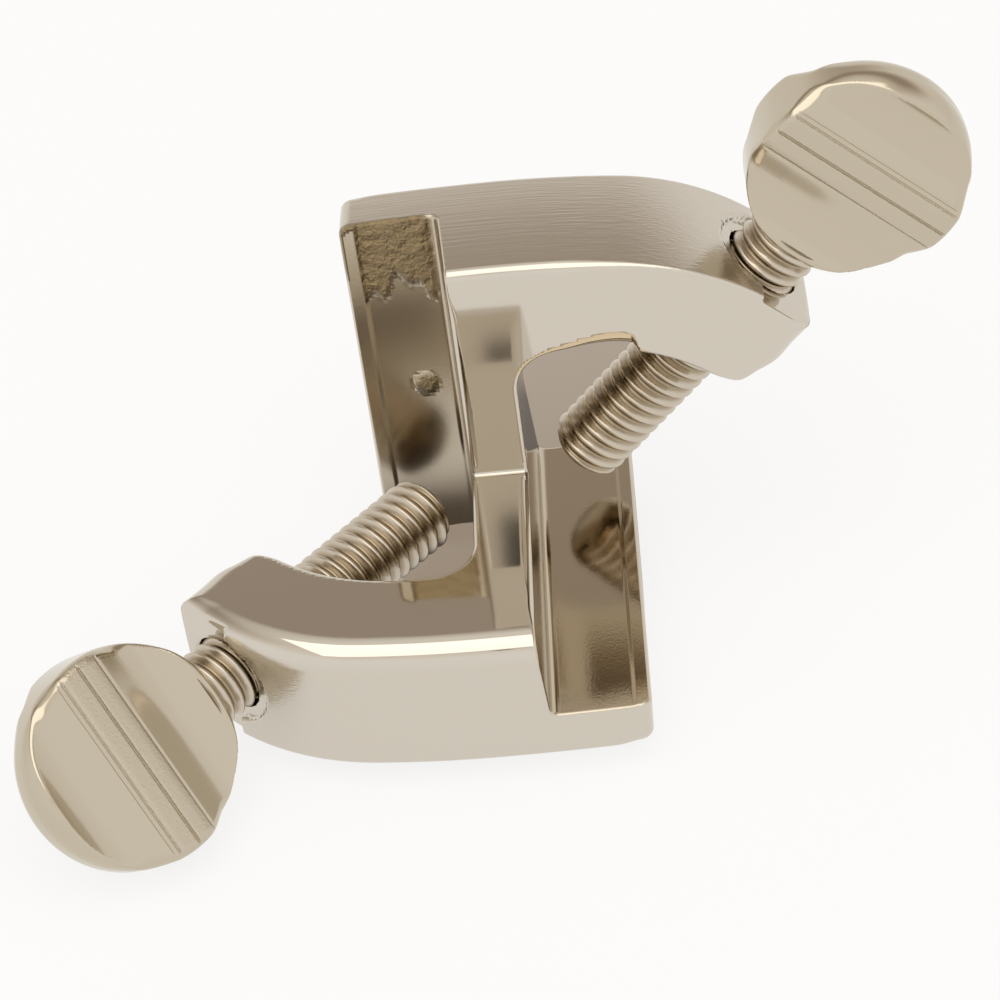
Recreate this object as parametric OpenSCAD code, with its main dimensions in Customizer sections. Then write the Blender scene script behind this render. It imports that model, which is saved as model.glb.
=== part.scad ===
// Boss head clamp for laboratory stand rods.
// Two hook-shaped jaws of one casting stand at right angles, back to back across a web.
// The left jaw takes an upright rod, the right jaw a level one, and a thumbscrew
// through the arm of each hook pushes the rod into the corner of web and plate.
// Millimetres, +Z up along the upright rod, +X to the right, +Y to the back.
// The origin is on the seat of the upright jaw, where the stand rod bears.

/* [Body] */
// Half width of the body across both plates
half_w = 13.3; // [12.8:0.1:14]
// Half height and half depth of the body
half_h = 20; // [19.6:0.1:20.6]
// Thickness of the back plate and the base plate
plate_t = 5.4; // [4.8:0.1:5.8]
// Distance of the web's free edges from the middle of the body
web_front = 5.2; // [4.6:0.1:6]
// Half thickness of the web where it leaves a plate
web_root = 3.5; // [3.2:0.1:3.8]
// Half thickness of the web at its free edge
web_tip = 2.8; // [2.5:0.1:3.1]
// Radius in the corner where a rod is held
seat_fillet = 0.8; // [0.4:0.1:1]
// Width of the raised strip along each plate's outer edge
lip_w = 2; // [1.6:0.1:2.4]
// Height of the raised strip
lip_h = 0.4; // [0.2:0.1:0.6]
// Rounding of the plate's outer corners
corner_r = 1.4; // [1:0.1:1.8]

/* [Hook] */
// Height of the crown above the body's half height
crown_h = 0.27; // [0.2:0.01:0.35]
// Place of the crown's highest point across the body
crown_x = 2; // [1:0.5:3]
// Radius of the crown towards the plate
crown_plate_r = 260; // [240:5:300]
// Radius of the crown towards the arm
crown_arm_r = 110; // [105:1:120]
// Radius of the shoulder that bends down to the arm's end
shoulder_r = 25.5; // [25:0.1:26]
// Place across the body where crown and shoulder meet
shoulder_x = 14; // [13.5:0.1:14.5]
// Height of the arch over the middle of the body
arch_h = 9.2; // [8.8:0.1:9.6]
// Radius of the arch
arch_r = 20.5; // [20:0.1:21]
// Place across the body where the arch starts to fall
arch_x = 9; // [8.5:0.1:9.5]
// Radius between the web and the arch
arch_fillet = 4.3; // [3.8:0.1:4.8]
// Height of the arm's lower corner over the middle of the body
heel_h = 3.4; // [3:0.1:3.6]
// Radius of the arm's lower corner
heel_r = 2.2; // [1.6:0.1:2.6]
// Rounding of the arm's end towards the front and the back
arm_r = 2.2; // [1.6:0.1:2.6]

/* [Screws] */
// Slope of the screw above the plate
screw_slope = 48; // [47:0.5:49]
// Distance of the screw's axis from the outer face of its hook
screw_depth = 7.4; // [7:0.1:7.8]
// Diameter of the stud over its thread
stud_d = 7.9; // [7.7:0.05:7.9]
// Radial clearance of the stud in the arm
stud_gap = 0.07; // [0.03:0.01:0.1]
// Distance from the corner of the seat to the stud's tip
tip_at = 7.1; // [6.5:0.1:7.5]
// Distance from the corner of the seat to the arm's end face
arm_end = 36.4; // [36:0.1:36.6]
// Distance of the arm's side wall from the screw's axis
arm_wall = 5.5; // [5.4:0.1:6]
// Diameter of the faced ring round the stud
spot_d = 10.8; // [10:0.1:10.8]
// Distance from the corner of the seat to the middle of the thumb head
head_at = 50.4; // [50.4:0.1:52]

/* [Thumb heads] */
// Diameter of the head
head_d = 21.5; // [21:0.1:22]
// Thickness of the head at its middle band
head_t = 7.2; // [7.2:0.1:7.8]
// Rounding of the head's rim beside the stud
rim_r = 1; // [0.6:0.1:1.6]
// Rounding of the rim at the free end
nose_r = 3.2; // [2.4:0.1:3.4]
// Radius of the finger hollow next to the stud
near_hollow_r = 5.4; // [5.2:0.1:6]
// Depth of that hollow
near_hollow_d = 1.4; // [1:0.1:1.4]
// Distance of that hollow from the head's middle
near_hollow_at = 6.1; // [6:0.1:6.4]
// Radius of the finger hollow at the free end
far_hollow_r = 4.7; // [4.5:0.1:5.2]
// Depth of that hollow
far_hollow_d = 1.7; // [1.2:0.1:1.8]
// Distance of that hollow from the head's middle
far_hollow_at = 6.6; // [6.4:0.1:6.8]
// Diameter of the stud's spigot inside the head
spigot_d = 4; // [3.4:0.1:4]
// Clearance all round the spigot
spigot_gap = 0.05; // [0.03:0.01:0.08]
// Turn of the lower head about its stud, against the upper one
lower_turn = -51.5; // [-90:0.5:90]

/* [Hidden] */
$fn = 96;
past = 1;                                       // how far a cut runs past a face
seat = half_h - plate_t;                        // plate's inner face, from the middle
screw_y = half_h - screw_depth;                 // plane of the upper screw
crown_z = half_h + crown_h;
seat_mid = -(half_w - lip_w + web_root) / 2;    // middle of the upright seat
head_r = head_d / 2;
spigot_end = head_at + 3;
spot_step = 0.1;                                // the faced ring stops this far above the end face
hub_h = 1;                                      // short round hub at the stud, in the rim

// Shoulder circle, which touches the crown's circle at shoulder_x
join_a = asin((shoulder_x - crown_x) / crown_arm_r);
shoulder_c = [crown_x + (crown_arm_r - shoulder_r) * sin(join_a),
    crown_z - crown_arm_r + (crown_arm_r - shoulder_r) * cos(join_a)];

// Along and across the screw, in the hook's plane
along = [cos(screw_slope), sin(screw_slope)];
across = [-sin(screw_slope), cos(screw_slope)];
function on_screw(t, p) = [web_root, -seat] + t * along + p * across;

// Points of an arc from angle a to angle b in n steps
function arc(c, r, a, b, n) = [for (i = [0:n]) c + r * [cos(a + (b - a) * i / n), sin(a + (b - a) * i / n)]];

// Angle at which the shoulder reaches a line along the screw, p off its axis
function shoulder_end(p) = screw_slope
    + asin((p - (shoulder_c - [web_root, -seat]) * across) / shoulder_r);

// Angle at which the arch reaches the height of the heel
arch_c = [arch_x, arch_h - arch_r];
arch_end = asin((heel_h + 0.4 - arch_c[1]) / arch_r);

// Corner of the heel, and the length that its rounding takes
heel_x = on_screw(0, -arm_wall)[0]
    + (heel_h - on_screw(0, -arm_wall)[1]) / tan(screw_slope);
heel_cut = heel_r * tan(screw_slope / 2);

// Wall of the channel from the web's free edge down to the plate and out over its lip
channel_edge = concat(
    [[web_tip, -web_front]],
    arc([web_root + seat_fillet, -seat + seat_fillet], seat_fillet, 180, 270, 4),
    [
        [half_w - lip_w, -seat],
        [half_w - lip_w + lip_h, -seat + lip_h],
        [half_w - lip_h, -seat + lip_h],
        [half_w, -seat - lip_h]
    ]);

// Outline of the upper hook with its plate, web and base, seen from the front
hook_outline = concat(
    [[-half_w, -half_h]],
    arc([-half_w + corner_r, half_h - corner_r - 0.2], corner_r, 180, 100, 5),
    arc([crown_x, crown_z - crown_plate_r], crown_plate_r, 92.6, 90, 4),
    arc([crown_x, crown_z - crown_arm_r], crown_arm_r, 89, 90 - join_a, 6),
    arc(shoulder_c, shoulder_r, 88 - join_a, shoulder_end(1.2), 16),
    [on_screw(arm_end, 1), on_screw(arm_end, -arm_wall)],
    arc([heel_x - heel_cut, heel_h + heel_r], heel_r, screw_slope - 90, -90, 5),
    arc(arch_c, arch_r, arch_end, 90, 14),
    arc([web_tip + arch_fillet, arch_h - arch_fillet], arch_fillet, 90, 180, 8),
    channel_edge,
    [[half_w, -half_h]]);

// Space over the base plate, right of the web
channel_outline = concat(
    channel_edge,
    [[2 * half_w, -seat - lip_h], [2 * half_w, half_h + past], [web_tip, half_h + past]]);

// Puts a shape drawn in the upper hook's plane upright, from y to the back
module upright(y, back) {
    translate([0, back, 0])
        rotate([90, 0, 0])
            linear_extrude(height = back - y) children();
}

// The lower half is the upper one turned half round about the body's slanted middle axis
module turned_over() {
    rotate([-90, 0, 180]) children();
}

// The stud's axis becomes +Z, with the seat's corner at the origin and the arm's wall at +X
module on_axis() {
    translate([web_root, screw_y, -seat])
        rotate([0, 90 - screw_slope, 0]) children();
}

// Moves the body's middle so that the origin falls on the upright seat
module placed() {
    translate([-seat_mid, -seat, 0]) children();
}

// Waste to round an edge that runs along Z, with the solid on the -X -Y side
module edge_waste(r, length) {
    translate([-r, -r, 0])
        difference() {
            cube([r + past, r + past, length]);
            translate([0, 0, -past]) cylinder(r = r, h = length + 2 * past);
        }
}

module half_casting() {
    difference() {
        upright(web_front, half_h) polygon(hook_outline);
        turned_over() upright(-half_h - past, half_h + past) polygon(channel_outline);
        on_axis() translate([0, 0, tip_at]) cylinder(d = stud_d + 2 * stud_gap, h = arm_end);
        on_axis() translate([0, 0, arm_end + spot_step]) cylinder(d = spot_d, h = 3);
        on_axis() translate([arm_wall, half_h - screw_y, arm_end - 12]) edge_waste(arm_r, 14);
        on_axis() translate([arm_wall, web_front - screw_y, arm_end - 12])
            rotate([0, 0, -90]) edge_waste(arm_r, 14);
    }
}

module casting() {
    color([0.66, 0.62, 0.56])
        placed() difference() {
            union() {
                half_casting();
                turned_over() half_casting();
            }
            translate([-half_w, half_h, -half_h - past])
                rotate([0, 0, 90]) edge_waste(corner_r, 2 * half_h + 2 * past);
            turned_over() translate([-half_w, half_h, -half_h - past])
                rotate([0, 0, 90]) edge_waste(corner_r, 2 * half_h + 2 * past);
        }
}

// Threaded rod with a chamfered tip and a plain spigot for the head
module stud() {
    r = stud_d / 2;
    shoulder = head_at - head_r - 0.1;
    on_axis() rotate_extrude() polygon([
        [0, tip_at],
        [r - 0.9, tip_at],
        [r, tip_at + 0.9],
        [r, shoulder],
        [spigot_d / 2, shoulder],
        [spigot_d / 2, spigot_end],
        [0, spigot_end]
    ]);
}

// Round disc with a rounded rim, lying across the stud's axis
module head_disc() {
    flat_r = head_r - rim_r;
    rotate([90, 0, 0]) rotate_extrude() {
        translate([0, -head_t / 2]) square([flat_r, head_t]);
        translate([0, -head_t / 2 + rim_r]) square([head_r, head_t - 2 * rim_r]);
        for (side = [-1, 1])
            intersection() {
                translate([flat_r, side * (head_t / 2 - rim_r)]) circle(r = rim_r);
                translate([0, -head_t]) square([2 * head_r, 2 * head_t]);
            }
    }
}

// Waste that rounds the free end's rim towards both faces, as far as the hollow beside it
module nose_waste() {
    intersection() {
        rotate([90, 0, 0]) rotate_extrude()
            for (side = [-1, 1])
                scale([1, side]) translate([head_r - nose_r, head_t / 2 - nose_r])
                    difference() {
                        square(nose_r + past);
                        circle(r = nose_r);
                    }
        translate([-head_d, -head_t, far_hollow_at]) cube([2 * head_d, 2 * head_t, head_d]);
    }
}

// Finger hollow across both faces, of radius r and depth d, at distance z from the middle
module hollow(r, d, z) {
    for (side = [-1, 1])
        translate([-head_r - past, side * (head_t / 2 + r - d), z])
            rotate([0, 90, 0]) cylinder(r = r, h = 2 * head_r + 2 * past);
}

module thumb_head(turn) {
    bore_r = spigot_d / 2 + spigot_gap;
    on_axis() translate([0, 0, head_at]) rotate([0, 0, turn])
        difference() {
            union() {
                difference() {
                    head_disc();
                    nose_waste();
                    hollow(near_hollow_r, near_hollow_d, -near_hollow_at);
                    hollow(far_hollow_r, far_hollow_d, far_hollow_at);
                }
                translate([0, 0, -head_r]) cylinder(d = stud_d - 0.1, h = hub_h);
            }
            translate([0, 0, -head_r - past])
                cylinder(r = bore_r, h = head_r + past + spigot_end - head_at + spigot_gap);
        }
}

module upper_stud() {
    color([0.58, 0.55, 0.51]) placed() stud();
}

module upper_thumb_head() {
    color([0.78, 0.72, 0.64]) placed() thumb_head(0);
}

module lower_stud() {
    color([0.58, 0.55, 0.51]) placed() turned_over() stud();
}

module lower_thumb_head() {
    color([0.78, 0.72, 0.64]) placed() turned_over() thumb_head(lower_turn);
}

casting();
upper_stud();
upper_thumb_head();
lower_stud();
lower_thumb_head();
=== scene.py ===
import math

import bmesh
import bpy
import numpy as np
from mathutils import Matrix, Vector


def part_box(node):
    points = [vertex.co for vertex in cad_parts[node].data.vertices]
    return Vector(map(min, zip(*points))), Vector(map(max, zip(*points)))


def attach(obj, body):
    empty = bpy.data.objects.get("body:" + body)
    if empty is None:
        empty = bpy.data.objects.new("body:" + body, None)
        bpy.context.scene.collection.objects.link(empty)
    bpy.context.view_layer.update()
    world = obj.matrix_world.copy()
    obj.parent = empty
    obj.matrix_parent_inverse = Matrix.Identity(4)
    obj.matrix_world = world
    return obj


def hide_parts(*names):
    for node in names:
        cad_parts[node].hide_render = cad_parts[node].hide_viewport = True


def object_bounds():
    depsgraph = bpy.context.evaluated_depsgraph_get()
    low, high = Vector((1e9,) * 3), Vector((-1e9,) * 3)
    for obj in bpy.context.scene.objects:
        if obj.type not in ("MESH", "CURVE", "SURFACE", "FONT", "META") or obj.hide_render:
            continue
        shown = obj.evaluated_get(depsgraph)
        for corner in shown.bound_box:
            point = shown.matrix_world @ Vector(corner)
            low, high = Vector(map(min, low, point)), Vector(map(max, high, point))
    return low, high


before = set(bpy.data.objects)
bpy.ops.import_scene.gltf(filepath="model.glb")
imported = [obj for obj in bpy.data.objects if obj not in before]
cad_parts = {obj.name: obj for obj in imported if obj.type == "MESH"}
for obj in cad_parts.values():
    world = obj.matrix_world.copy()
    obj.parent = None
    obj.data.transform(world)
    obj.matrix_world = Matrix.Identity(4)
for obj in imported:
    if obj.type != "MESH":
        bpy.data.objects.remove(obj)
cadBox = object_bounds()

mm = 0.001

# Sizes in mm, measured from the middle of the casting: x to the right, y to the back, z up.
# The upper jaw is described; the lower one is the same jaw turned half round.
casting = {
    "halfWidth": 13.3,
    "halfHeight": 20.0,
    "seat": 14.6,             # both rod seats lie this far from the middle
    "webFront": 5.2,
    "webRoot": 3.5,
    "webTip": 2.8,
    "seatFillet": 0.8,
    "lipWidth": 2.0,
    "lipSlope": 0.4,          # width of the slopes up to the lip and down past it
    "lipFall": 0.3,
    "cornerRadius": 1.4,
    "crownHeight": 20.27,
    "crownX": 2.0,
    "crownPlateRadius": 260.0,
    "crownArmRadius": 110.0,
    "shoulderRadius": 25.5,
    "shoulderX": 14.0,
    "archHeight": 9.2,
    "archRadius": 20.5,
    "archX": 9.0,
    "archFillet": 4.3,
    "heelHeight": 3.4,
    "heelRadius": 2.2,
    "heelFillet": 1.5,
    "armWall": 5.5,
    "armEnd": 36.4,
    "endStep": 1.1,           # outer strip of the arm that stands past its end face
    "spotRadius": 5.4,
    "boreRadius": 4.05,
    "boreStart": 7.1,
    "leanFrom": 8.0,          # height where a leaning front face starts to come forward
    "leanSlope": 0.0437,
    "webCorner": 0.35,        # fillet where the two jaws' webs meet
}

# radii of the casting's edges that both jaws share, mm
edges = {
    "outline": 0.3,
    "pocket": 0.5,
    "wall": 2.2,              # outer wall of the arm
    "back": 0.6,
    "backWall": 1.6,          # added to the back edge along the wall
    "armEnd": 0.35,
    "bore": 0.3,
    "web": 0.35,
    "webMore": 0.5,           # added beside the rod channel
}

screw = {
    "slope": math.radians(48),
    "plane": 12.6,            # y of the upper screw
    "radius": 3.95,
    "pitch": 1.411,           # 18 turns to the inch
    "depth": 0.6,
    "flank": 2.6,             # steepness of the flanks, close to 55 degrees between them
    "roundness": 0.4,         # share of a cosine wave in the profile, for round crests and roots
    "tip": 7.1,
    "tipChamfer": 0.9,
    "end": 41.0,              # inside the head
    "turnedHead": -51.5,      # degrees that the lower head is turned about its stud
    "rowsPerTurn": 18,
    "sides": 96,
}

head = {
    "middle": 50.4,           # along the screw
    "radius": 10.75,
    "halfThickness": 3.6,
    "noseRadius": 3.2,        # rim at the end away from the screw
    "rimRadius": 1.0,         # rim beside the screw
    "rimChange": (2.0, 8.0),  # where the one rim turns into the other, along the screw
    "hollowEdge": 0.25,
    "hollowEdgeMore": 0.9,    # added where a hollow runs out into the rim
    "hollows": ((5.4, 1.4, -6.1), (4.7, 1.7, 6.6)),    # radius, depth, place along the screw
    "grooves": (2.72, 2.28, 0.1, -2.05),
    "grooveDepth": 0.26,
    "grooveWidth": 0.14,
}

low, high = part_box("casting")
middle = Vector(((low.x + high.x) / 2, high.y - casting["halfHeight"] * mm,
                 low.z + casting["halfHeight"] * mm))
print("frame loaded, casting's middle at", [round(v / mm, 3) for v in middle])


# Shapes are distance fields, negative inside the metal.
def roundedMax(a, b, radius):    # overlap of two solids with its edge rounded
    return (np.minimum(np.maximum(a, b), -radius)
            + np.hypot(np.maximum(a + radius, 0), np.maximum(b + radius, 0)))


def roundedMin(a, b, radius):    # two solids joined with a fillet
    return -roundedMax(-a, -b, radius)


def smoothStep(value, start, end):
    share = np.clip((value - start) / (end - start), 0, 1)
    return share * share * (3 - 2 * share)


def alongScrew(x, z):
    c, s = math.cos(screw["slope"]), math.sin(screw["slope"])
    dx, dz = x - casting["webRoot"], z + casting["seat"]
    return dx * c + dz * s, dz * c - dx * s


def crownField(x, z):
    top, crownX = casting["crownHeight"], casting["crownX"]
    plateRadius, armRadius = casting["crownPlateRadius"], casting["crownArmRadius"]
    shoulderRadius = casting["shoulderRadius"]
    joinAngle = math.asin((casting["shoulderX"] - crownX) / armRadius)
    shoulderX = crownX + (armRadius - shoulderRadius) * math.sin(joinAngle)
    shoulderZ = top - armRadius + (armRadius - shoulderRadius) * math.cos(joinAngle)
    plate = np.hypot(x - crownX, z - top + plateRadius) - plateRadius
    arm = np.hypot(x - crownX, z - top + armRadius) - armRadius
    shoulder = np.hypot(x - shoulderX, z - shoulderZ) - shoulderRadius
    angle = np.arctan2(x - crownX, z - top + armRadius)
    return np.where(x < crownX, plate, np.where(angle < joinAngle, arm, shoulder))


def webFace(z):    # x of the web's side, which leans out towards its root
    share = np.clip((-casting["webFront"] - z) / (casting["seat"] - casting["webFront"]), 0, 1)
    return casting["webTip"] + (casting["webRoot"] - casting["webTip"]) * share


def seatLine(x, lip):    # z of the seat, with the low lip along its outer edge
    start = casting["halfWidth"] - casting["lipWidth"]
    slope = casting["lipSlope"]
    up = np.clip((x - start) / slope, 0, 1) * lip
    down = np.clip((x - casting["halfWidth"] + slope) / slope, 0, 1) * (lip + casting["lipFall"])
    return -casting["seat"] + up - down


def seatField(x, z, lip):    # space over the seat, down to it and out past the lip
    return roundedMin(seatLine(x, lip) - z, casting["halfWidth"] - x, edges["pocket"])


def channelField(x, z, lip):
    return roundedMax(webFace(z) - x, seatField(x, z, lip), casting["seatFillet"])


def pocketField(x, z, lip):    # space inside the hook
    heel = z - casting["heelHeight"]
    archZ = casting["archHeight"] - casting["archRadius"]
    arch = np.hypot(x - casting["archX"], z - archZ) - casting["archRadius"]
    flat = z - casting["archHeight"]
    top = roundedMin(np.where(x < casting["archX"], flat, arch), heel, casting["heelFillet"])
    return roundedMax(roundedMax(top, webFace(z) - x, casting["archFillet"]),
                      seatField(x, z, lip), casting["seatFillet"])


def jawField(x, y, z, edge):
    t, p = alongScrew(x, z)
    radial = np.hypot(p, y - screw["plane"])
    crown = crownField(x, z)
    pocket = pocketField(x, z, edge["lip"])
    wall = -p - casting["armWall"]
    side = -casting["halfWidth"] - x
    outline = roundedMax(roundedMax(-pocket, wall, casting["heelRadius"]),
                         roundedMax(crown, side, casting["cornerRadius"]), edges["outline"])
    outline = np.maximum(outline, -casting["halfHeight"] - z)
    # rounding of the edges: wide on the crown, wider on the arm's outer wall, small in the pocket
    nearCrown = smoothStep(crown + pocket, -3, 1)
    nearWall = smoothStep(wall - np.maximum(-pocket, crown), -2.5, 0.2)
    along = smoothStep(x, edge["wideFrom"], edge["wideTo"])
    crownEdge = edge["crown"] * (1 - along) + edge["crownEnd"] * along
    archRoll = smoothStep(x, 5, 14) * (1 - smoothStep(x, 14.2, 15.2)) * smoothStep(z, 3.5, 6)
    archEdge = edges["pocket"] + (edge["arch"] - edges["pocket"]) * archRoll
    frontEdge = archEdge + (crownEdge - archEdge) * nearCrown
    frontEdge = frontEdge + (edges["wall"] - frontEdge) * nearWall
    backEdge = edges["back"] + edges["backWall"] * nearWall
    backEdge = backEdge + (edge["corner"] - backEdge) * smoothStep(side, -4, -1)
    swell = (y - screw["plane"]) ** 2 / (2 * edge["swell"]) * nearCrown
    lean = -edge["lean"] * casting["leanSlope"] * np.logaddexp(0, (z - casting["leanFrom"]) * 2) / 2
    solid = roundedMax(outline + swell, casting["webFront"] + lean - y, frontEdge)
    solid = roundedMax(solid, y - casting["halfHeight"], backEdge)
    endFace = np.maximum(casting["armEnd"] - t,
                         np.minimum(p - casting["endStep"], radial - casting["spotRadius"]))
    solid = roundedMax(solid, -endFace, edges["armEnd"])
    bore = np.maximum(radial - casting["boreRadius"], casting["boreStart"] - t)
    solid = roundedMax(solid, -bore, edges["bore"])
    besideWeb = smoothStep(x, -7, -4) * (1 - smoothStep(z, 14, 18))
    webEdge = edges["web"] + edges["webMore"] * besideWeb
    return roundedMax(solid, -channelField(-x, -y, edge["otherLip"]), webEdge)


# Radii of the edges that were ground by hand, so the two jaws differ. The crown's edge goes from
# crown to crownEnd between wideFrom and wideTo along x, swell is the crown's own radius from
# front to back, and lip is how high the channel's lip stands. Lean 1 lets the arm's front face
# come forward a little towards the crown.
upperEdge = {"crown": 1.15, "crownEnd": 0.45, "wideFrom": 8, "wideTo": 18, "swell": 130,
             "arch": 2.6, "corner": 1.0, "lip": 0.1, "otherLip": 0.4, "lean": 1}
lowerEdge = {"crown": 2.7, "crownEnd": 2.7, "wideFrom": -2, "wideTo": 16, "swell": 160,
             "arch": 0.5, "corner": 1.4, "lip": 0.4, "otherLip": 0.1, "lean": 0}


def castingField(x, y, z):
    upper = jawField(x, y, z, upperEdge)
    lower = jawField(-x, -z, -y, lowerEdge)
    # the fillet between the webs ends before their sides and stays close to the corner
    front = casting["webFront"]
    corner = roundedMin(front - y, z + front, casting["webCorner"])
    corner = np.maximum(corner, np.abs(x) - casting["webTip"] + 0.25)
    corner = np.maximum(corner, np.maximum(np.abs(y - front), np.abs(z + front)) - 1.0)
    return np.minimum(np.minimum(upper, lower), corner)


def headField(u, v, t):    # u across the screw, v through the disc, t along the screw
    rho = np.hypot(u, t)
    half = head["halfThickness"]
    nose = smoothStep(t, *head["rimChange"])
    rim = head["rimRadius"] + (head["noseRadius"] - head["rimRadius"]) * nose
    disc = roundedMax(rho - head["radius"], np.abs(v) - half, rim)
    depth = sum(np.exp(-((t - g) / head["grooveWidth"]) ** 2) for g in head["grooves"])
    disc = np.maximum(disc, np.abs(v) - half + head["grooveDepth"] * depth)
    for radius, deep, place in head["hollows"]:
        hollow = radius - np.hypot(np.abs(v) - half - radius + deep, t - place)
        beyond = smoothStep(abs(place) - t * math.copysign(1, place), 0, 2)
        disc = roundedMax(disc, hollow, head["hollowEdge"] + head["hollowEdgeMore"] * beyond)
    return disc


def gridLine(start, end, coarse, fineBands):    # coordinates, closer together inside the bands
    stops = [start]
    while stops[-1] < end:
        here = stops[-1]
        step = coarse
        for place, reach, fine in fineBands:
            distance = max(abs(here + fine / 2 - place) - reach, 0)
            step = min(step, fine + distance * 0.35)
        stops.append(here + step)
    return np.array(stops)


def surfaceNet(field, xs, ys, zs):    # quads over the zero surface of a field
    value = field(xs[:, None, None], ys[None, :, None], zs[None, None, :])
    inside = value < 0
    cells = np.array(inside.shape) - 1
    axes = (xs, ys, zs)
    points, owners = [], []
    for axis in range(3):
        start = [slice(None)] * 3
        start[axis] = slice(0, -1)
        end = [slice(None)] * 3
        end[axis] = slice(1, None)
        edge = np.argwhere(inside[tuple(start)] != inside[tuple(end)])
        far = edge.copy()
        far[:, axis] += 1
        a, b = value[tuple(edge.T)], value[tuple(far.T)]
        point = np.stack([axes[n][edge[:, n]] for n in range(3)], 1)
        point[:, axis] += a / (a - b) * (axes[axis][far[:, axis]] - axes[axis][edge[:, axis]])
        corners = []
        for stepOne, stepTwo in ((-1, -1), (0, -1), (0, 0), (-1, 0)):
            cell = edge.copy()
            cell[:, (axis + 1) % 3] += stepOne
            cell[:, (axis + 2) % 3] += stepTwo
            corners.append((cell[:, 0] * cells[1] + cell[:, 1]) * cells[2] + cell[:, 2])
        corners = np.stack(corners, 1)
        corners[a > 0] = corners[a > 0][:, ::-1]
        points.append(point)
        owners.append(corners)
    points, owners = np.concatenate(points), np.concatenate(owners)
    names, quads = np.unique(owners, return_inverse=True)
    quads = quads.reshape(-1, 4)
    count = np.bincount(quads.ravel(), minlength=len(names))
    spots = np.stack([np.bincount(quads.ravel(), np.repeat(points[:, n], 4), len(names)) / count
                      for n in range(3)], 1)
    return spots, quads


def slopeOf(field, spots, step=0.01):
    slopes = []
    for axis in range(3):
        ahead, behind = spots.copy(), spots.copy()
        ahead[:, axis] += step
        behind[:, axis] -= step
        slopes.append((field(*ahead.T) - field(*behind.T)) / (2 * step))
    return np.stack(slopes, 1)


def settle(field, spots):    # moves points onto the surface and gives their normals
    for _ in range(4):
        slope = slopeOf(field, spots)
        size = np.maximum((slope ** 2).sum(1), 0.05)
        move = slope * (field(*spots.T) / size)[:, None]
        spots = spots - np.clip(move, -0.15, 0.15)
    slope = slopeOf(field, spots, 0.02)
    return spots, slope / np.maximum(np.linalg.norm(slope, axis=1), 1e-6)[:, None]


def addObject(name, data):
    built = bpy.data.objects.new(name, data)
    bpy.context.scene.collection.objects.link(built)
    return built


def buildMesh(name, spots, faces, normals=None):    # spots in metres, in the frame
    mesh = bpy.data.meshes.new(name)
    mesh.from_pydata(spots.tolist(), [], faces.tolist())
    mesh.polygons.foreach_set("use_smooth", np.ones(len(mesh.polygons), bool))
    if normals is not None:
        mesh.normals_split_custom_set_from_vertices(normals.tolist())
    return addObject(name, mesh)


def paintMask(built, name, values):
    mask = built.data.attributes.new(name, "FLOAT", "POINT")
    mask.data.foreach_set("value", np.asarray(values, np.float32))


def upperPlace():    # the screw's own axes: z along it, x towards the arm's outer wall
    c, s = math.cos(screw["slope"]), math.sin(screw["slope"])
    axes = np.array([[s, 0, c], [0, 1, 0], [-c, 0, s]])
    return axes, np.array([casting["webRoot"], screw["plane"], -casting["seat"]])


def lowerPlace():
    turn = np.array([[-1, 0, 0], [0, 0, -1], [0, -1, 0]])
    axes, origin = upperPlace()
    return turn @ axes, turn @ origin


def inFrame(spots):
    return np.asarray(spots) * mm + np.array(middle)


def linearColour(text):
    parts = [int(text[n:n + 2], 16) / 255 for n in (1, 3, 5)]
    return [p / 12.92 if p <= 0.04045 else ((p + 0.055) / 1.055) ** 2.4 for p in parts] + [1.0]


def addNode(tree, kind, settings=None, links=None):    # settings by input name or property
    node = tree.nodes.new(kind)
    for key, value in (settings or {}).items():
        if isinstance(key, int) or key in node.inputs:
            node.inputs[key].default_value = value
        else:
            setattr(node, key, value)
    for key, source in (links or {}).items():
        tree.links.new(source, node.inputs[key])
    return node


def mathOf(tree, operation, *terms):    # each term is a socket or a number
    node = addNode(tree, "ShaderNodeMath", {"operation": operation})
    for n, term in enumerate(terms):
        if isinstance(term, (int, float)):
            node.inputs[n].default_value = term
        else:
            tree.links.new(term, node.inputs[n])
    return node.outputs[0]


def noiseOf(tree, place, size, detail, roughness=0.5):    # size of the pattern in mm
    return addNode(tree, "ShaderNodeTexNoise",
                   {"Scale": 1 / size / mm, "Detail": detail, "Roughness": roughness},
                   {"Vector": place}).outputs["Fac"]


def bumpOf(tree, height, strength, depth, normal=None):    # depth in mm
    links = {"Height": height}
    if normal is not None:
        links["Normal"] = normal
    return addNode(tree, "ShaderNodeBump", {"Strength": strength, "Distance": depth * mm},
                   links).outputs[0]


def mixOf(tree, share, first, second):    # share is a socket, the others sockets or colours
    node = addNode(tree, "ShaderNodeMix", {"data_type": "RGBA"}, {0: share})
    for n, tone in ((6, first), (7, second)):
        if isinstance(tone, str):
            node.inputs[n].default_value = linearColour(tone)
        else:
            tree.links.new(tone, node.inputs[n])
    return node.outputs[2]


def newMaterial(name):
    material = bpy.data.materials.new(name)
    material.use_nodes = True
    tree = material.node_tree
    tree.nodes.clear()
    return material, tree


def maskOf(tree, name):
    return addNode(tree, "ShaderNodeAttribute", {"attribute_name": name}).outputs["Fac"]


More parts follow.
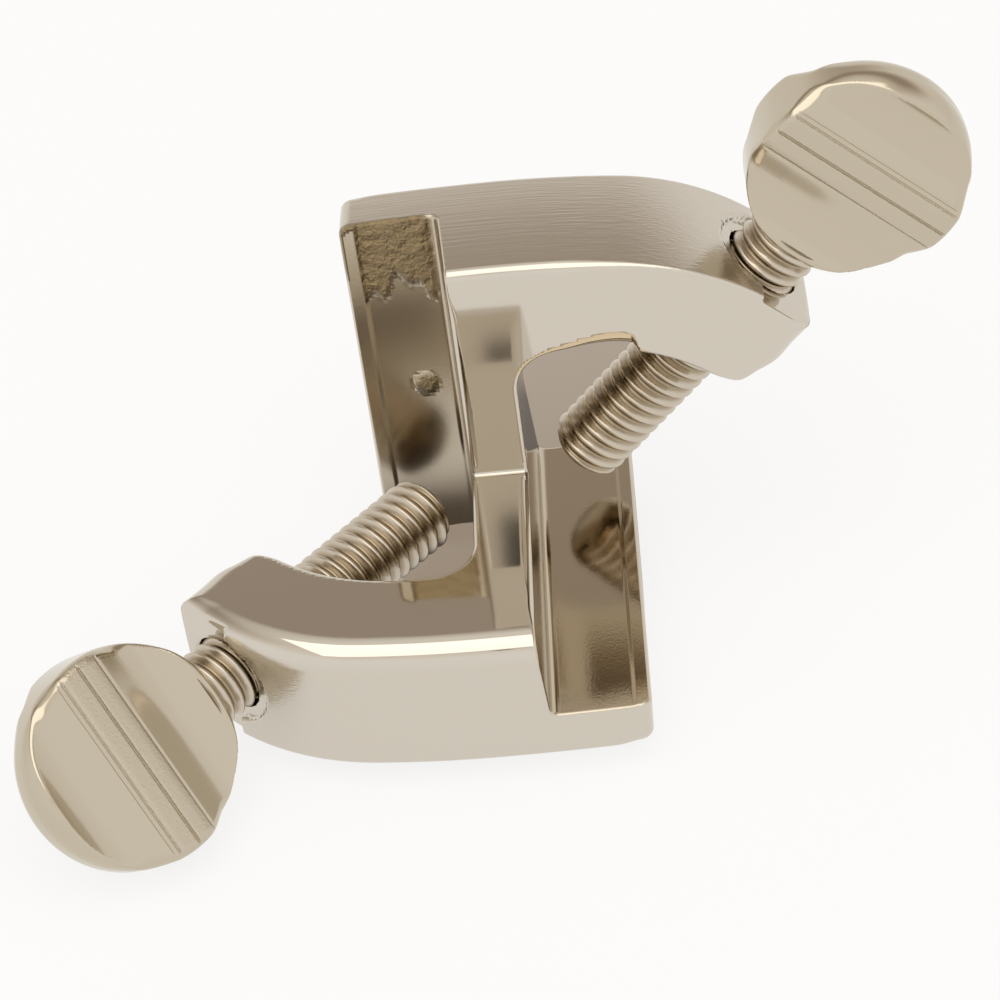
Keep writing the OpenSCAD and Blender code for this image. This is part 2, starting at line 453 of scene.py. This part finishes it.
nickel = {
    "colour": "#d1c9bc",      # bright nickel, a little warm
    "seatColour": "#c4b8a4",  # thinner plating down in the rod channels
    "gateColour": "#a08d6c",  # stained plating on the rough skin
    "roughness": 0.05,
    "groundRoughness": 0.2,
    "seatRoughness": 0.07,
    "dullness": 0.14,         # roughness that the upright channel has beyond the level one
    "lineSpacing": 0.25,      # mm between grinding lines
    "lineStretch": 0.02,      # so each line is about 12 mm long
    "lineDepth": 0.03,        # mm
    "castGrain": 0.3,         # mm
    "castDepth": 0.03,        # mm
    "lumpSize": 1.3,          # mm
    "lumpDepth": 0.9,         # mm
}

satin = {
    "colour": "#c5baa6",
    "roughness": 0.16,
    "gripRoughness": 0.12,    # added on the band between the grooves
    "gripGrain": 0.22,        # mm
    "gripDepth": 0.06,        # mm
}

rolled = {
    "colour": "#cabfae",
    "rootColour": "#a3937b",
    "roughness": 0.22,
    "grain": 0.25,            # mm
    "grainDepth": 0.03,       # mm
}


# Bright nickel plate over a zinc alloy casting: wheel-polished faces mirror the floor, the ground
# crown has fine lines along x, and the rod channels keep the casting's own dull, grainy skin.
def castingMaterial():
    material, tree = newMaterial("nickelPlatedZincCasting")
    place = addNode(tree, "ShaderNodeTexCoord").outputs["Object"]
    ground, seat, gate = maskOf(tree, "ground"), maskOf(tree, "seat"), maskOf(tree, "gate")
    perLine = 1 / nickel["lineSpacing"] / mm
    lineMap = addNode(tree, "ShaderNodeMapping",
                      {"Scale": (nickel["lineStretch"] * perLine, perLine, perLine)},
                      {"Vector": place})
    lines = addNode(tree, "ShaderNodeTexNoise", {"Scale": 1.0, "Detail": 2.0},
                    {"Vector": lineMap.outputs[0]})
    grain = noiseOf(tree, place, nickel["castGrain"], 4.0, 0.6)
    lumps = noiseOf(tree, place, nickel["lumpSize"], 5.0, 0.65)    # left where the gate was cut
    colour = mixOf(tree, seat, nickel["colour"], nickel["seatColour"])
    colour = mixOf(tree, gate, colour, nickel["gateColour"])
    rough = mathOf(tree, "MULTIPLY_ADD", ground,
                   nickel["groundRoughness"] - nickel["roughness"], nickel["roughness"])
    rough = mathOf(tree, "MULTIPLY_ADD", seat, nickel["seatRoughness"] - nickel["roughness"], rough)
    rough = mathOf(tree, "MULTIPLY_ADD", maskOf(tree, "dull"), nickel["dullness"], rough)
    normal = bumpOf(tree, mathOf(tree, "MULTIPLY", lines.outputs["Fac"], ground), 0.6,
                    nickel["lineDepth"])
    normal = bumpOf(tree, mathOf(tree, "MULTIPLY", grain, seat), 0.2, nickel["castDepth"], normal)
    normal = bumpOf(tree, mathOf(tree, "MULTIPLY", lumps, gate), 1.0, nickel["lumpDepth"], normal)
    shader = addNode(tree, "ShaderNodeBsdfPrincipled", {"Metallic": 1.0},
                     {"Base Color": colour, "Roughness": rough, "Normal": normal})
    addNode(tree, "ShaderNodeOutputMaterial", links={"Surface": shader.outputs[0]})
    return material


# Nickel plate over a zinc alloy casting, tumbled rather than buffed, so the heads look satin.
def headMaterial():
    material, tree = newMaterial("satinNickelPlatedHead")
    place = addNode(tree, "ShaderNodeTexCoord").outputs["Object"]
    grip = maskOf(tree, "grip")
    grain = noiseOf(tree, place, satin["gripGrain"], 3.0)
    normal = bumpOf(tree, mathOf(tree, "MULTIPLY", grain, grip), 1.0, satin["gripDepth"])
    rough = mathOf(tree, "MULTIPLY_ADD", grip, satin["gripRoughness"], satin["roughness"])
    shader = addNode(tree, "ShaderNodeBsdfPrincipled",
                     {"Metallic": 1.0, "Base Color": linearColour(satin["colour"])},
                     {"Roughness": rough, "Normal": normal})
    addNode(tree, "ShaderNodeOutputMaterial", links={"Surface": shader.outputs[0]})
    return material


# Nickel plate over a rolled steel thread, coloured browner in the roots.
def threadMaterial():
    material, tree = newMaterial("nickelPlatedRolledThread")
    place = addNode(tree, "ShaderNodeTexCoord").outputs["Object"]
    normal = bumpOf(tree, noiseOf(tree, place, rolled["grain"], 3.0), 0.3, rolled["grainDepth"])
    colour = mixOf(tree, maskOf(tree, "root"), rolled["colour"], rolled["rootColour"])
    shader = addNode(tree, "ShaderNodeBsdfPrincipled",
                     {"Metallic": 1.0, "Roughness": rolled["roughness"]},
                     {"Base Color": colour, "Normal": normal})
    addNode(tree, "ShaderNodeOutputMaterial", links={"Surface": shader.outputs[0]})
    return material


# The casting's grid, mm. Each band is a place, how far it reaches to both sides and its step.
grid = {
    "step": 0.42,
    "margin": 0.6,
    "ends": (-20.9, 20.6),
    "across": ((casting["halfWidth"] - 0.2, 0.6, 0.13), (11.5, 0.3, 0.13), (3.1, 0.75, 0.13)),
    "back": ((casting["halfHeight"], 0.7, 0.16), (casting["seat"], 0.5, 0.14), (13.9, 0.3, 0.16),
             (casting["webFront"], 0.55, 0.12), (-20.0, 0.5, 0.2), (-9.2, 0.3, 0.2)),
    "headStep": 0.24,
    "headAlong": 0.22,
    "headFace": (0.4, 0.14),  # reach and step at the two faces, then at the grooves
    "headGroove": (0.2, 0.07),
}

# what is left rough where the casting's gate was cut, mm from the middle of the casting
gateSkin = {
    "patchFrom": 11.5,        # height where the patch starts, and where it is full
    "patchFull": 13.0,
    "patchSide": (4.0, 5.0),
    "waves": ((1.2, 1.1, 0.6), (0.7, 2.7, 1.9)),      # height, rate and phase of its ragged edge
    "lump": (-6.8, -0.4),     # stray lump lower down
    "lumpReach": (0.6, 1.5),
    "lumpSquash": 0.9,
}


def makeCasting():
    front = casting["webFront"] - 0.1
    acrossBands = [(s * x, reach, step) for s in (-1, 1) for x, reach, step in grid["across"]]
    reach = (high.x - middle.x) / mm + grid["margin"]
    xs = gridLine(-reach, reach, grid["step"], acrossBands)
    ys = gridLine(*grid["ends"], grid["step"], grid["back"])
    zs = -ys[::-1]
    spots, quads = surfaceNet(castingField, xs, ys, zs)
    spots, normals = settle(castingField, spots)
    built = buildMesh("castingShell", inFrame(spots), quads, normals)
    x, y, z = spots.T
    leftLip, rightLip = lowerEdge["lip"], upperEdge["lip"]
    left = np.where(y > front, channelField(-x, -y, leftLip), pocketField(-x, -y, leftLip))
    right = np.where(z < -front, channelField(x, z, rightLip), pocketField(x, z, rightLip))
    seatMask = 1 - smoothStep(np.minimum(np.abs(left), np.abs(right)), 0.06, 0.2)
    crown = np.minimum(np.abs(crownField(x, z)), np.abs(crownField(-x, -y)))
    groundMask = 1 - smoothStep(crown, 0.3, 0.8)
    paintMask(built, "seat", seatMask)
    paintMask(built, "dull", 1 - smoothStep(np.abs(left), 0.06, 0.2))
    paintMask(built, "ground", groundMask * (1 - seatMask))
    wander = sum(tall * np.sin(rate * x + phase) for tall, rate, phase in gateSkin["waves"])
    patch = (smoothStep(z + wander, gateSkin["patchFrom"], gateSkin["patchFull"])
             * smoothStep(-x, *gateSkin["patchSide"]))
    lumpX, lumpZ = gateSkin["lump"]
    away = np.hypot(x - lumpX, (z - lumpZ) * gateSkin["lumpSquash"])
    lump = 1 - smoothStep(away, *gateSkin["lumpReach"])
    onSeat = (np.abs(y - casting["seat"]) < 0.4) * (x < -3)    # only in the upright channel
    paintMask(built, "gate", np.maximum(patch, lump) * onSeat)
    built.data.materials.append(castingMaterial())
    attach(built, "casting")
    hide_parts("casting")
    print("casting:", len(quads) * 2, "triangles")


def makeThread(name, place, body, node):
    axes, origin = place
    rows, sides, pitch = screw["rowsPerTurn"], screw["sides"], screw["pitch"]
    first = -rows
    last = int((screw["end"] - screw["tip"]) / pitch * rows) + 1
    row = np.arange(first, last + 1)
    turn = np.arange(sides) / sides
    t = screw["tip"] + pitch * (row[:, None] / rows + turn[None, :])
    phase = (row / rows) % 1.0
    wave = np.clip(0.5 + (np.abs(phase - 0.5) - 0.25) * screw["flank"], 0, 1)
    cosine = 0.5 - 0.5 * np.cos(np.pi * wave)
    wave = (1 - screw["roundness"]) * wave + screw["roundness"] * cosine
    radius = screw["radius"] - screw["depth"] * wave[:, None] + 0 * t
    t = np.clip(t, screw["tip"], screw["end"])
    radius = np.minimum(radius, screw["radius"] - screw["tipChamfer"] + t - screw["tip"])
    angle = 2 * np.pi * turn[None, :]
    local = np.stack([radius * np.cos(angle), radius * np.sin(angle), t], 2).reshape(-1, 3)
    index = np.arange(len(row) * sides).reshape(len(row), sides)
    # the last side of each row meets the first side one turn up
    quads = []
    for j in range(len(row) - 1):
        a, b = index[j], index[j + 1]
        aNext, bNext = np.roll(a, -1), np.roll(b, -1)
        if j + rows + 1 < len(row):
            aNext[-1], bNext[-1] = index[j + rows][0], index[j + rows + 1][0]
            quads.append(np.stack([a, aNext, bNext, b], 1))
        else:
            quads.append(np.stack([a, aNext, bNext, b], 1)[:-1])
    faces = np.concatenate(quads)
    spots = local @ axes.T + origin
    tipMiddle = len(spots)
    spots = np.vstack([spots, origin + axes @ np.array([0, 0, screw["tip"]])])
    fan = [[index[0][(k + 1) % sides], index[0][k], tipMiddle] for k in range(sides)]
    built = buildMesh(name, inFrame(spots), faces)
    mesh = built.data
    work = bmesh.new()
    work.from_mesh(mesh)
    work.verts.ensure_lookup_table()
    for corner in fan:
        if len({tuple(work.verts[c].co) for c in corner}) == 3:
            work.faces.new([work.verts[c] for c in corner])
    bmesh.ops.remove_doubles(work, verts=work.verts, dist=2e-6)
    bmesh.ops.dissolve_degenerate(work, dist=1e-6, edges=work.edges)
    bmesh.ops.recalc_face_normals(work, faces=work.faces)
    for face in work.faces:
        face.smooth = True
    work.to_mesh(mesh)
    work.free()
    co = np.empty(len(mesh.vertices) * 3)
    mesh.vertices.foreach_get("co", co)
    inMm = (co.reshape(-1, 3) - np.array(middle)) / mm - origin
    away = inMm @ axes
    out = np.hypot(away[:, 0], away[:, 1])
    root = smoothStep(screw["radius"] - out, 0.15, screw["depth"])
    paintMask(built, "root", root)
    mesh.materials.append(threadMaterial())
    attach(built, body)
    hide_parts(node)
    print(name + ":", sum(len(f.vertices) - 2 for f in mesh.polygons), "triangles")


def makeHead(name, place, turn, body):
    axes, origin = place
    reach = head["radius"] + 0.4
    half, step = head["halfThickness"], grid["headStep"]
    across = gridLine(-reach, reach, step, [])
    through = gridLine(-half - 0.5, half + 0.5, step,
                       [(v, *grid["headFace"]) for v in (half, -half)])
    along = gridLine(-reach, reach, grid["headAlong"],
                     [(g, *grid["headGroove"]) for g in head["grooves"]])
    spots, quads = surfaceNet(headField, across, through, along)
    spots, normals = settle(headField, spots)
    grip = smoothStep(spots[:, 2], -2.3, -2.1) * (1 - smoothStep(spots[:, 2], 2.2, 2.4))
    grip = grip * smoothStep(np.abs(spots[:, 1]), half - 0.5, half - 0.3)
    c, s = math.cos(turn), math.sin(turn)
    spin = np.array([[c, -s, 0], [s, c, 0], [0, 0, 1]])
    spots = (spots + np.array([0, 0, head["middle"]])) @ spin.T @ axes.T + origin
    normals = normals @ spin.T @ axes.T
    built = buildMesh(name, inFrame(spots), quads, normals)
    paintMask(built, "grip", grip)
    built.data.materials.append(headMaterial())
    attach(built, body)
    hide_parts(body)
    print(name + ":", len(quads) * 2, "triangles")


studio = {
    "azimuth": 3.9,
    "elevation": 40.1,
    "roll": 7.7,
    "distance": 283,          # mm
    "lens": 104.4,
    "shift": (0.0045, -0.033),
    "clip": (0.01, 20),
    # brightness of the room by the height of the direction, 0 level and 1 straight up; the
    # first two are the lowest and the highest
    "backRoom": ((0.38, "#f6f4f1"), (0.95, "#f6f3ee"), (0.5, "#dcd5cd"), (0.58, "#bdb3aa"),
                 (0.67, "#ada195"), (0.76, "#aea297"), (0.84, "#d8d1c7")),
    "frontRoom": ((0.5, "#ffffff"), (0.98, "#f6f3ee"), (0.6, "#fbf8f4"), (0.7, "#f4efe8"),
                  (0.85, "#efeae2")),
    "turnToFront": (0.25, -0.35),                # y of the direction where the two rooms blend
    "floorHalf": 3,           # m
    "floorGap": 0.02,         # mm under the clamp
    "floorColour": "#f4f2ef",
    "floorGlow": 0.8,
    # middle, half size and softness, in mm, of the tan patches of painted shade on the floor behind
    # the two openings
    "shades": (((4.8, 34.8), (7.0, 13.8), 0.7), ((13.0, 43.0), (3.0, 5.5), 0.7),
               ((-6.5, 16.0), (6.0, 10.0), 0.7)),
    "shadeColour": "#9a8976",
    "undersideShade": ((0.0, 23.0), (15.0, 19.0), 4.0),    # painted shade under the clamp, in reflections only
    "undersideShadeColour": "#453b33",
    "softboxPlace": (0.0, -0.3, 0.83),           # m
    "softboxSize": (1.0, 0.75),                  # m
    "softboxPower": 2.2,
    "postPlace": (-26.8, 25.0, 600.0),           # mm: across, up and away from the casting
    "postSize": (5.4, 10.5),                     # half width and half height, mm
    "postColour": "#0b0908",
}


def makeCamera():
    a, e = math.radians(studio["azimuth"]), math.radians(studio["elevation"])
    toCamera = Vector((math.sin(a) * math.cos(e), -math.cos(a) * math.cos(e), math.sin(e)))
    camera = addObject("camera", bpy.data.cameras.new("camera"))
    turn = (-toCamera).to_track_quat("-Z", "Y").to_matrix()
    roll = Matrix.Rotation(math.radians(-studio["roll"]), 3, "Z")
    place = Matrix.Translation(middle + toCamera * studio["distance"] * mm)
    camera.matrix_world = place @ (turn @ roll).to_4x4()
    camera.data.lens = studio["lens"]
    camera.data.shift_x, camera.data.shift_y = studio["shift"]
    camera.data.clip_start, camera.data.clip_end = studio["clip"]
    bpy.context.scene.camera = camera


def softPatch(tree, axes, centre, reach, softness):    # 1 inside a soft-edged floor rectangle
    sides = []
    for n in range(2):
        away = mathOf(tree, "SUBTRACT", axes.outputs[n], middle[n] + centre[n] * mm)
        sides.append(addNode(tree, "ShaderNodeMapRange",
                             {"interpolation_type": "SMOOTHSTEP",
                              "From Min": (reach[n] + softness) * mm,
                              "From Max": (reach[n] - softness) * mm},
                             {"Value": mathOf(tree, "ABSOLUTE", away)}).outputs[0])
    return mathOf(tree, "MULTIPLY", *sides)


def makeFloor():
    mesh = bpy.data.meshes.new("floor")
    level, half = cadBox[0].z - studio["floorGap"] * mm, studio["floorHalf"]
    mesh.from_pydata([(-half, -half, level), (half, -half, level), (half, half, level),
                      (-half, half, level)], [], [(0, 1, 2, 3)])
    floor = addObject("floor", mesh)
    material, tree = newMaterial("paleStudioFloor")
    rays = addNode(tree, "ShaderNodeLightPath").outputs
    seen = mathOf(tree, "MAXIMUM", rays["Is Camera Ray"], rays["Is Glossy Ray"])
    seen = mathOf(tree, "MAXIMUM", seen, rays["Is Transmission Ray"])
    paint = addNode(tree, "ShaderNodeBsdfDiffuse", {"Color": linearColour(studio["floorColour"])})
    # painted shade, not cast by the lamp: tan patches behind the two openings, and under the clamp
    # a darker one that only reflections see
    spot = addNode(tree, "ShaderNodeNewGeometry").outputs["Position"]
    axes = addNode(tree, "ShaderNodeSeparateXYZ", links={0: spot})
    shade = softPatch(tree, axes, *studio["shades"][0])
    for patch in studio["shades"][1:]:
        shade = mathOf(tree, "MAXIMUM", shade, softPatch(tree, axes, *patch))
    # painted shade under the clamp, seen only by glossy rays, so the metal's undersides mirror a
    # darker floor
    under = mathOf(tree, "MULTIPLY", softPatch(tree, axes, *studio["undersideShade"]),
                   rays["Is Glossy Ray"])
    # the tan patches are painted shade mixed into the floor's colour
    paper = mixOf(tree, shade, "#ffffff", studio["shadeColour"])
    paper = mixOf(tree, under, paper, studio["undersideShadeColour"])
    glow = addNode(tree, "ShaderNodeEmission", {"Strength": 1.0}, {"Color": paper})
    mix = addNode(tree, "ShaderNodeMixShader",
                  links={0: mathOf(tree, "MULTIPLY", seen, studio["floorGlow"]),
                         1: paint.outputs[0], 2: glow.outputs[0]})
    addNode(tree, "ShaderNodeOutputMaterial", links={"Surface": mix.outputs[0]})
    mesh.materials.append(material)


def makeWorld():
    world = bpy.data.worlds.new("studioRoom")
    bpy.context.scene.world = world
    world.use_nodes = True
    tree = world.node_tree
    tree.nodes.clear()
    direction = addNode(tree, "ShaderNodeTexCoord").outputs["Generated"]
    parts = addNode(tree, "ShaderNodeSeparateXYZ", links={0: direction})
    # one ramp from the floor up for the back of the room, one for the bright front
    ramps = []
    for stops in (studio["backRoom"], studio["frontRoom"]):
        ramp = addNode(tree, "ShaderNodeValToRGB", links={0: parts.outputs["Z"]})
        ends = ramp.color_ramp.elements
        ends[0].position, ends[1].position = stops[0][0], stops[1][0]
        for n, (height, tone) in enumerate(stops):
            stop = ends[0] if n == 0 else ends[-1] if n == 1 else ends.new(height)
            stop.color = linearColour(tone)
        ramps.append(ramp)
    back, front = studio["turnToFront"]
    share = addNode(tree, "ShaderNodeMapRange", {"From Min": back, "From Max": front},
                    {"Value": parts.outputs["Y"]})
    walls = mixOf(tree, share.outputs[0], ramps[0].outputs[0], ramps[1].outputs[0])
    room = addNode(tree, "ShaderNodeBackground", {"Strength": 1.0}, {"Color": walls})
    white = addNode(tree, "ShaderNodeBackground", {"Color": (1, 1, 1, 1), "Strength": 1.0})
    rays = addNode(tree, "ShaderNodeLightPath")
    mix = addNode(tree, "ShaderNodeMixShader", links={0: rays.outputs["Is Camera Ray"],
                                                      1: room.outputs[0], 2: white.outputs[0]})
    addNode(tree, "ShaderNodeOutputWorld", links={"Surface": mix.outputs[0]})


def makeSoftbox():
    lamp = bpy.data.lights.new("overheadSoftbox", "AREA")
    lamp.shape = "RECTANGLE"
    lamp.size, lamp.size_y = studio["softboxSize"]
    lamp.energy = studio["softboxPower"]
    place = Vector(studio["softboxPlace"])
    box = addObject("overheadSoftbox", lamp)
    box.location = middle + place
    box.rotation_mode = "QUATERNION"
    box.rotation_quaternion = (-place).to_track_quat("-Z", "Y")


def makePost():    # dark lamp post behind the camera, which shows in the web's polished faces
    turn = math.radians(studio["elevation"])
    right = Vector((1, 0, 0)) * mm
    up = Vector((0, math.sin(turn), math.cos(turn))) * mm
    away = Vector((0, -math.cos(turn), math.sin(turn))) * mm
    x, y, z = studio["postPlace"]
    halfWidth, halfHeight = studio["postSize"]
    spots = [middle + right * (x + stepX * halfWidth) + up * (y + stepY * halfHeight) + away * z
             for stepX, stepY in ((-1, -1), (1, -1), (1, 1), (-1, 1))]
    mesh = bpy.data.meshes.new("lampPost")
    mesh.from_pydata(spots, [], [(0, 1, 2, 3)])
    post = addObject("lampPost", mesh)
    material, tree = newMaterial("blackPost")
    paint = addNode(tree, "ShaderNodeBsdfDiffuse", {"Color": linearColour(studio["postColour"])})
    addNode(tree, "ShaderNodeOutputMaterial", links={"Surface": paint.outputs[0]})
    mesh.materials.append(material)


makeCamera()
makeFloor()
makeWorld()
makeSoftbox()
makePost()
print("studio ready")
makeCasting()
for side, place, degrees in (("upper", upperPlace(), 0.0),
                             ("lower", lowerPlace(), screw["turnedHead"])):
    body = side + "_thumb_head"
    makeThread(side + "Thread", place, body, side + "_stud")
    makeHead(side + "ThumbHead", place, math.radians(degrees), body)

bpy.context.scene.view_settings.view_transform = "Standard"
print("model built")
